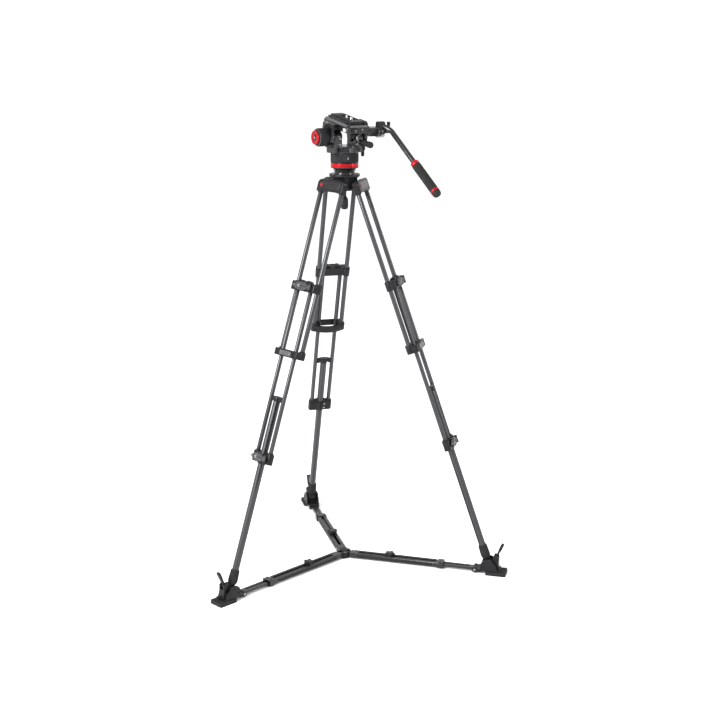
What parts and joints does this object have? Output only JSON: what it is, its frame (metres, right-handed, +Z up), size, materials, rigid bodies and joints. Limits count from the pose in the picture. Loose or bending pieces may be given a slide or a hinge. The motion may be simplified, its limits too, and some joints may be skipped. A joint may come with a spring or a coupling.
{
  "type": "tripod with fluid head",
  "caption": "Twin-tube camera tripod with telescoping legs, a floor-level spreader, a levelling bowl and a fluid head with pan bar, tilting platform and sliding plate.",
  "frame": {"origin": "floor level under the bowl's axis, on the underside of the spreader hub", "axes": "+Z up, +Y towards the back leg; the other two legs are 120 degrees either side"},
  "size_m": [1.1332, 0.9832, 1.7006],
  "materials": {
    "carbon": "woven carbon fibre under satin lacquer",
    "black_casting": "fine textured black coating",
    "black_plastic": "fine moulded texture",
    "grey_plastic": "satin moulding",
    "black_anodised": "black anodised",
    "bright_steel": "turned",
    "red_anodised": "red anodised",
    "red_plastic": "moulded",
    "light_grey": "satin",
    "rubber_grip": "ribbed rubber",
    "level_glass": "spirit level dome"
  },
  "bodies": {
    "crown": {"crown_casting": "black_casting", "leg_hinge_bolts": "bright_steel"},
    "bowl_clamp": {"bowl_clamp_washer": "black_anodised"},
    "ball": {"half_ball": "black_anodised", "red_ring": "red_anodised"},
    "tie_down": {"bowl_knob": "black_plastic"},
    "drag_ring": {"pan_drag_ring": "black_plastic"},
    "head": {"head_body": "black_casting", "bubble_level": "level_glass"},
    "pan_lock": {"pan_lock_lever": "black_plastic"},
    "tilt_lock": {"tilt_lock_lever": "black_plastic"},
    "platform": {"tilt_platform": "black_casting", "platform_strips": "light_grey"},
    "tilt_dial": {"tilt_drag_dial": "black_plastic"},
    "selector": {"dial_selector": "red_plastic"},
    "plate": {"camera_plate": "black_anodised"},
    "screw_small": {"camera_screw_small": "bright_steel"},
    "screw_large": {"camera_screw_large": "bright_steel"},
    "plate_lock": {"plate_lock_lever": "black_plastic"},
    "plate_release": {"plate_release_button": "black_plastic"},
    "pan_bar": {"pan_bar_clamp": "black_plastic", "pan_bar_tube": "black_anodised", "pan_bar_grip": "rubber_grip", "grip_rings": "red_anodised"},
    "bar_knob": {"bar_clamp_knob": "black_plastic"},
    "back_upper": {"back_upper_tubes": "carbon", "back_upper_castings": "black_casting"},
    "back_middle": {"back_middle_tubes": "carbon", "back_middle_castings": "black_casting"},
    "back_lower": {"back_lower_stage": "carbon"},
    "back_upper_lock": {"back_upper_lever": "grey_plastic"},
    "back_lower_lock": {"back_lower_lever": "grey_plastic"},
    "back_foot": {"back_spreader_foot": "black_plastic"},
    "back_foot_lock": {"back_foot_lever": "black_plastic"},
    "back_knob": {"back_slot_knob": "black_plastic"},
    "hub": {"back_spreader_channel": "black_plastic", "spreader_hub": "black_plastic"},
    "left_upper": {"left_upper_tubes": "carbon", "left_upper_castings": "black_casting"},
    "left_middle": {"left_middle_tubes": "carbon", "left_middle_castings": "black_casting"},
    "left_lower": {"left_lower_stage": "carbon"},
    "left_upper_lock": {"left_upper_lever": "grey_plastic"},
    "left_lower_lock": {"left_lower_lever": "grey_plastic"},
    "left_foot": {"left_spreader_foot": "black_plastic"},
    "left_foot_lock": {"left_foot_lever": "black_plastic"},
    "left_knob": {"left_slot_knob": "black_plastic"},
    "left_channel": {"left_spreader_channel": "black_plastic"},
    "right_upper": {"right_upper_tubes": "carbon", "right_upper_castings": "black_casting"},
    "right_middle": {"right_middle_tubes": "carbon", "right_middle_castings": "black_casting"},
    "right_lower": {"right_lower_stage": "carbon"},
    "right_upper_lock": {"right_upper_lever": "grey_plastic"},
    "right_lower_lock": {"right_lower_lever": "grey_plastic"},
    "right_foot": {"right_spreader_foot": "black_plastic"},
    "right_foot_lock": {"right_foot_lever": "black_plastic"},
    "right_knob": {"right_slot_knob": "black_plastic"},
    "right_channel": {"right_spreader_channel": "black_plastic"}
  },
  "joints": [
    {"name": "level_x", "type": "hinge", "parent": "crown", "child": "bowl_clamp", "pos_m": [0, 0, 1.486], "axis": [1, 0, 0], "range_deg": [-8, 8]},
    {"name": "level_y", "type": "hinge", "parent": "bowl_clamp", "child": "ball", "pos_m": [0, 0, 1.486], "axis": [0, 1, 0], "range_deg": [-8, 8]},
    {"name": "tie_down_turn", "type": "hinge", "parent": "ball", "child": "tie_down", "pos_m": [0, 0, 1.4], "axis": [0, 0, 1], "continuous": true},
    {"name": "pan_drag_turn", "type": "hinge", "parent": "ball", "child": "drag_ring", "pos_m": [0, 0, 1.547], "axis": [0, 0, 1], "range_deg": [-60, 60]},
    {"name": "pan", "type": "hinge", "parent": "ball", "child": "head", "pos_m": [0, 0, 1.56], "axis": [0, 0, 1], "continuous": true},
    {"name": "pan_lock_turn", "type": "hinge", "parent": "head", "child": "pan_lock", "pos_m": [0.06634, 0.00446, 1.577], "axis": [0.9613, 0.2756, 0], "range_deg": [0, 55]},
    {"name": "tilt_lock_turn", "type": "hinge", "parent": "head", "child": "tilt_lock", "pos_m": [0.06334, -0.02137, 1.6], "axis": [-0.2756, 0.9613, 0], "range_deg": [0, 45]},
    {"name": "tilt", "type": "hinge", "parent": "head", "child": "platform", "pos_m": [0, 0, 1.622], "axis": [0.9613, 0.2756, 0], "range_deg": [-50, 30]},
    {"name": "tilt_drag_turn", "type": "hinge", "parent": "platform", "child": "tilt_dial", "pos_m": [-0.09324, -0.02674, 1.622], "axis": [0.9613, 0.2756, 0], "range_deg": [-60, 60]},
    {"name": "selector_turn", "type": "hinge", "parent": "tilt_dial", "child": "selector", "pos_m": [-0.11631, -0.03335, 1.622], "axis": [0.9613, 0.2756, 0], "range_deg": [0, 90]},
    {"name": "plate_slide", "type": "slide", "parent": "platform", "child": "plate", "axis": [-0.273, 0.9519, 0.1392], "range_m": [-0.03, 0.03]},
    {"name": "screw_small_turn", "type": "hinge", "parent": "plate", "child": "screw_small", "pos_m": [0.0037, -0.0129, 1.68878], "axis": [0.0384, -0.1338, 0.9903], "continuous": true},
    {"name": "screw_large_turn", "type": "hinge", "parent": "plate", "child": "screw_large", "pos_m": [0.01271, -0.04432, 1.68419], "axis": [0.0384, -0.1338, 0.9903], "continuous": true},
    {"name": "plate_lock_turn", "type": "hinge", "parent": "platform", "child": "plate_lock", "pos_m": [0.0609, -0.06363, 1.67365], "axis": [0.0384, -0.1338, 0.9903], "range_deg": [-50, 0]},
    {"name": "plate_release_press", "type": "slide", "parent": "platform", "child": "plate_release", "axis": [0.9613, 0.2756, 0], "range_m": [0, 0.002], "stiffness_N_per_m": 500},
    {"name": "pan_bar_turn", "type": "hinge", "parent": "platform", "child": "pan_bar", "pos_m": [0.11094, -0.06039, 1.64186], "axis": [0.9613, 0.2756, 0], "range_deg": [-50, 5]},
    {"name": "bar_knob_turn", "type": "hinge", "parent": "platform", "child": "bar_knob", "pos_m": [0.13978, -0.05212, 1.64186], "axis": [0.9613, 0.2756, 0], "range_deg": [-120, 0]},
    {"name": "back_spread", "type": "hinge", "parent": "crown", "child": "back_upper", "pos_m": [0, 0.058, 1.449], "axis": [1, 0, 0], "range_deg": [-3, 3]},
    {"name": "back_middle_slide", "type": "slide", "parent": "back_upper", "child": "back_middle", "axis": [0, -0.3324, 0.9431], "range_m": [0, 0.32]},
    {"name": "back_lower_slide", "type": "slide", "parent": "back_middle", "child": "back_lower", "axis": [0, -0.3324, 0.9431], "range_m": [0, 0.375]},
    {"name": "back_upper_lever_turn", "type": "hinge", "parent": "back_middle", "child": "back_upper_lock", "pos_m": [-0.042, 0.21539, 1.10474], "axis": [0, -0.3324, 0.9431], "range_deg": [0, 100]},
    {"name": "back_lower_lever_turn", "type": "hinge", "parent": "back_middle", "child": "back_lower_lock", "pos_m": [-0.033, 0.42831, 0.50968], "axis": [0, -0.3324, 0.9431], "range_deg": [0, 100]},
    {"name": "back_foot_tilt", "type": "hinge", "parent": "back_upper", "child": "back_foot", "pos_m": [0, 0.56823, 0.04051], "axis": [1, 0, 0], "range_deg": [-3, 3]},
    {"name": "back_foot_lever_turn", "type": "hinge", "parent": "back_foot", "child": "back_foot_lock", "pos_m": [0, 0.598, 0.064], "axis": [1, 0, 0], "range_deg": [-60, 0]},
    {"name": "back_knob_turn", "type": "hinge", "parent": "back_foot", "child": "back_knob", "pos_m": [0, 0.185, 0.03], "axis": [0, 0, 1], "continuous": true},
    {"name": "back_arm_slide", "type": "slide", "parent": "back_foot", "child": "hub", "axis": [0, 1, 0], "range_m": [-0.075, 0.075]},
    {"name": "left_spread", "type": "hinge", "parent": "crown", "child": "left_upper", "pos_m": [-0.05023, -0.029, 1.449], "axis": [-0.5, 0.866, 0], "range_deg": [-3, 3]},
    {"name": "left_middle_slide", "type": "slide", "parent": "left_upper", "child": "left_middle", "axis": [0.2879, 0.1662, 0.9431], "range_m": [0, 0.32]},
    {"name": "left_lower_slide", "type": "slide", "parent": "left_middle", "child": "left_lower", "axis": [0.2879, 0.1662, 0.9431], "range_m": [0, 0.375]},
    {"name": "left_upper_lever_turn", "type": "hinge", "parent": "left_middle", "child": "left_upper_lock", "pos_m": [-0.16553, -0.14407, 1.10474], "axis": [0.2879, 0.1662, 0.9431], "range_deg": [0, 100]},
    {"name": "left_lower_lever_turn", "type": "hinge", "parent": "left_middle", "child": "left_lower_lock", "pos_m": [-0.35443, -0.24274, 0.50968], "axis": [0.2879, 0.1662, 0.9431], "range_deg": [0, 100]},
    {"name": "left_foot_tilt", "type": "hinge", "parent": "left_upper", "child": "left_foot", "pos_m": [-0.4921, -0.28412, 0.04051], "axis": [-0.5, 0.866, 0], "range_deg": [-3, 3]},
    {"name": "left_foot_lever_turn", "type": "hinge", "parent": "left_foot", "child": "left_foot_lock", "pos_m": [-0.51788, -0.299, 0.064], "axis": [-0.5, 0.866, 0], "range_deg": [-60, 0]},
    {"name": "left_knob_turn", "type": "hinge", "parent": "left_foot", "child": "left_knob", "pos_m": [-0.16021, -0.0925, 0.03], "axis": [0, 0, 1], "continuous": true},
    {"name": "left_arm_slide", "type": "slide", "parent": "left_foot", "child": "left_channel", "axis": [-0.866, -0.5, 0], "range_m": [-0.075, 0.075]},
    {"name": "right_spread", "type": "hinge", "parent": "crown", "child": "right_upper", "pos_m": [0.05023, -0.029, 1.449], "axis": [-0.5, -0.866, 0], "range_deg": [-3, 3]},
    {"name": "right_middle_slide", "type": "slide", "parent": "right_upper", "child": "right_middle", "axis": [-0.2879, 0.1662, 0.9431], "range_m": [0, 0.32]},
    {"name": "right_lower_slide", "type": "slide", "parent": "right_middle", "child": "right_lower", "axis": [-0.2879, 0.1662, 0.9431], "range_m": [0, 0.375]},
    {"name": "right_upper_lever_turn", "type": "hinge", "parent": "right_middle", "child": "right_upper_lock", "pos_m": [0.20753, -0.07132, 1.10474], "axis": [-0.2879, 0.1662, 0.9431], "range_deg": [0, 100]},
    {"name": "right_lower_lever_turn", "type": "hinge", "parent": "right_middle", "child": "right_lower_lock", "pos_m": [0.38743, -0.18558, 0.50968], "axis": [-0.2879, 0.1662, 0.9431], "range_deg": [0, 100]},
    {"name": "right_foot_tilt", "type": "hinge", "parent": "right_upper", "child": "right_foot", "pos_m": [0.4921, -0.28412, 0.04051], "axis": [-0.5, -0.866, 0], "range_deg": [-3, 3]},
    {"name": "right_foot_lever_turn", "type": "hinge", "parent": "right_foot", "child": "right_foot_lock", "pos_m": [0.51788, -0.299, 0.064], "axis": [-0.5, -0.866, 0], "range_deg": [-60, 0]},
    {"name": "right_knob_turn", "type": "hinge", "parent": "right_foot", "child": "right_knob", "pos_m": [0.16021, -0.0925, 0.03], "axis": [0, 0, 1], "continuous": true},
    {"name": "right_arm_slide", "type": "slide", "parent": "right_foot", "child": "right_channel", "axis": [0.866, -0.5, 0], "range_m": [-0.075, 0.075]}
  ],
  "couplings": [
    {"joint": "back_foot_tilt", "follows": "back_spread", "ratio": -1},
    {"joint": "back_arm_slide", "follows": "back_spread", "m_per_rad": -1.4085},
    {"joint": "left_spread", "follows": "back_spread", "ratio": 1},
    {"joint": "left_foot_tilt", "follows": "back_spread", "ratio": -1},
    {"joint": "left_arm_slide", "follows": "back_spread", "m_per_rad": -1.4085},
    {"joint": "right_spread", "follows": "back_spread", "ratio": 1},
    {"joint": "right_foot_tilt", "follows": "back_spread", "ratio": -1},
    {"joint": "right_arm_slide", "follows": "back_spread", "m_per_rad": -1.4085}
  ]
}
